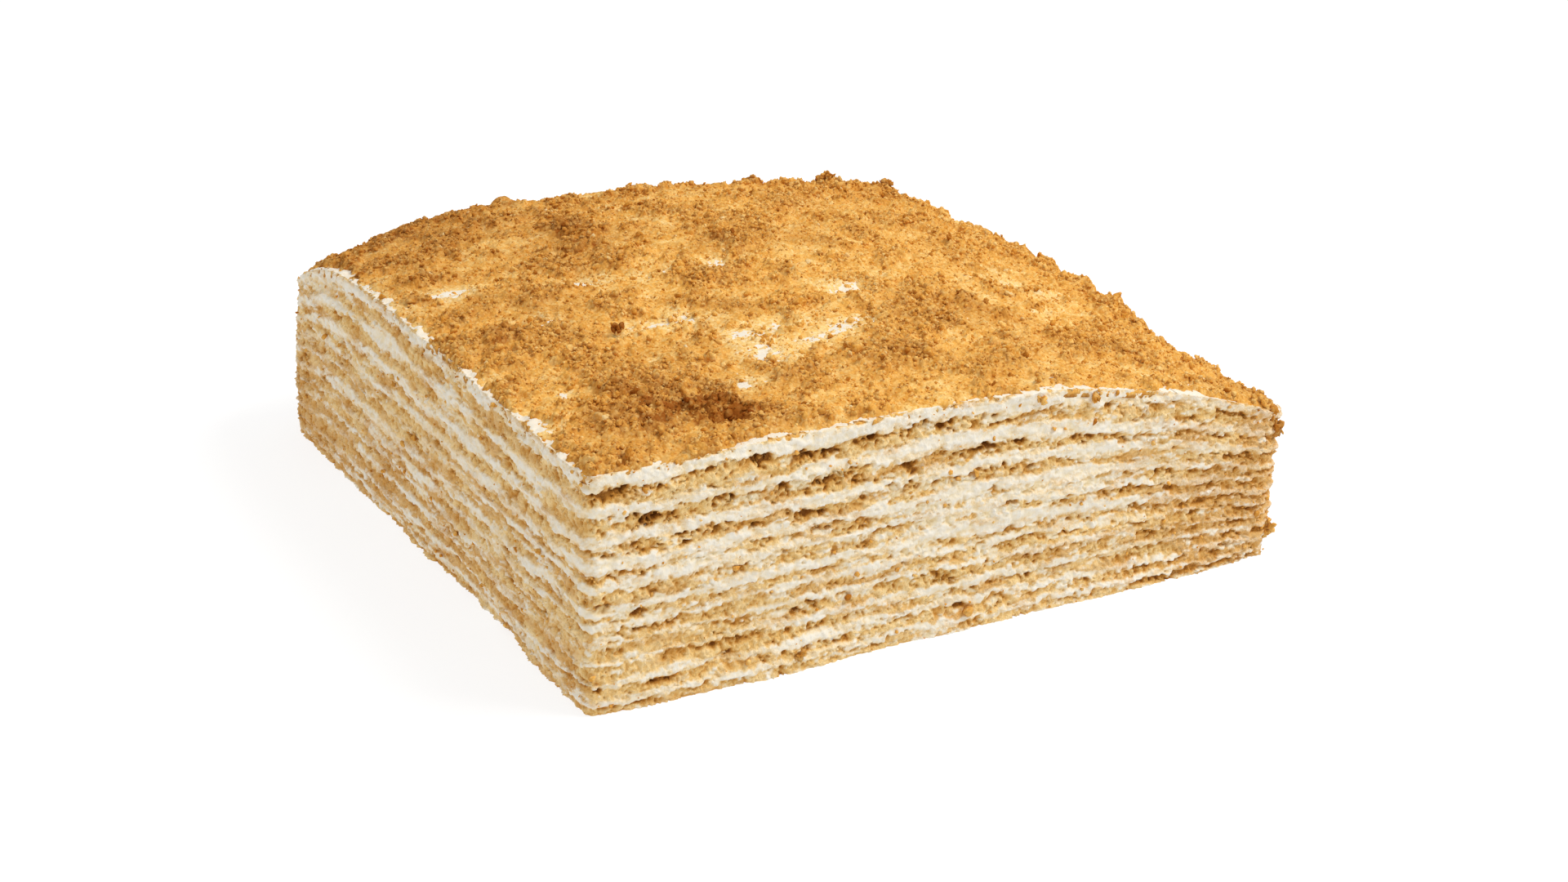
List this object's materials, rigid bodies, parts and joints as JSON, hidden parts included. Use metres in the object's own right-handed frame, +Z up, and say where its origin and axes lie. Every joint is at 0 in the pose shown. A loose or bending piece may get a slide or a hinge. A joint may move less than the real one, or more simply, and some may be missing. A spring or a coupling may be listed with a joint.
{
  "type": "layered honey cake slab",
  "caption": "Square-cut slab of medovik honey cake: thin biscuit sheets layered with cream, with a coat of biscuit crumbs on top.",
  "frame": {"origin": "middle of the bounding box in plan, on the surface that the slab rests on", "axes": "+X runs along the long cut face from the near corner to the outer side, +Y along the short cut face to the back, +Z up"},
  "size_m": [0.182, 0.18, 0.0607],
  "materials": {
    "biscuit": "matte baked honey biscuit, tan, with an open crumb and small dark pits at the cut",
    "cream": "soft off-white sour cream filling, smooth and slightly satin, smeared with crumbs at the cut",
    "crumb": "matte golden brown biscuit crumbs, loose and clumped"
  },
  "bodies": {
    "root": {"biscuit_01": "biscuit", "cream_01": "cream", "biscuit_02": "biscuit", "cream_02": "cream", "biscuit_03": "biscuit", "cream_03": "cream", "biscuit_04": "biscuit", "cream_04": "cream", "biscuit_05": "biscuit", "cream_05": "cream", "biscuit_06": "biscuit", "cream_06": "cream", "biscuit_07": "biscuit", "cream_07": "cream", "biscuit_08": "biscuit", "cream_08": "cream", "biscuit_09": "biscuit", "cream_09": "cream", "biscuit_10": "biscuit", "cream_10": "cream", "biscuit_11": "biscuit", "cream_11": "cream", "crumb_topping": "crumb"}
  },
  "joints": []
}
